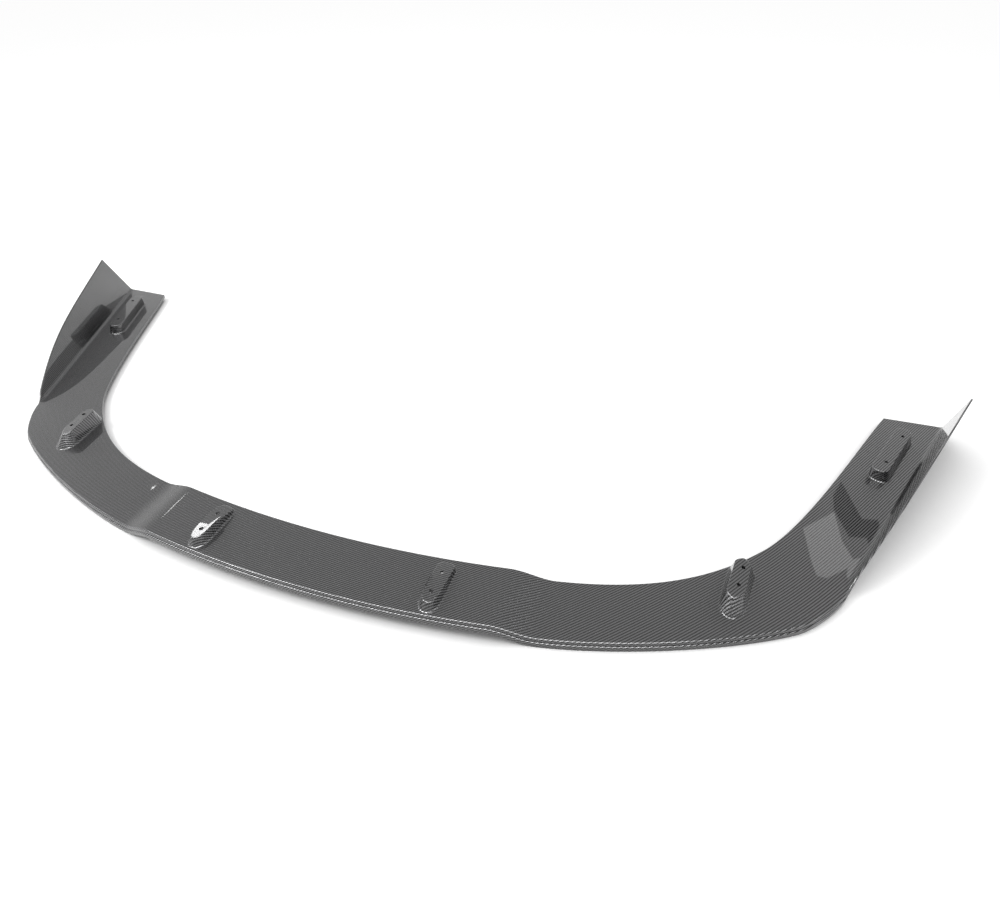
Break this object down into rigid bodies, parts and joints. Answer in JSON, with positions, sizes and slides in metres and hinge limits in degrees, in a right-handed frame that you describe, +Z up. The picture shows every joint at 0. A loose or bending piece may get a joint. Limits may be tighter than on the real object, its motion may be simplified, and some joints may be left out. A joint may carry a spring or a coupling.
{
  "type": "front splitter lip",
  "caption": "Wide curved front splitter lip in a thin glossy laminate, with a turned-down front edge, an upright winglet on each arm and hollow pods for screws.",
  "frame": {"origin": "middle of the bounding box on the plane that the front edge and the arms rest on", "axes": "+X along the width, -Y toward the front edge, +Z up"},
  "size_m": [1.8102, 0.7019, 0.1098],
  "materials": {
    "laminate": "clear-coated woven carbon fibre, glossy"
  },
  "bodies": {
    "root": {"splitter_lip": "laminate"}
  },
  "joints": []
}
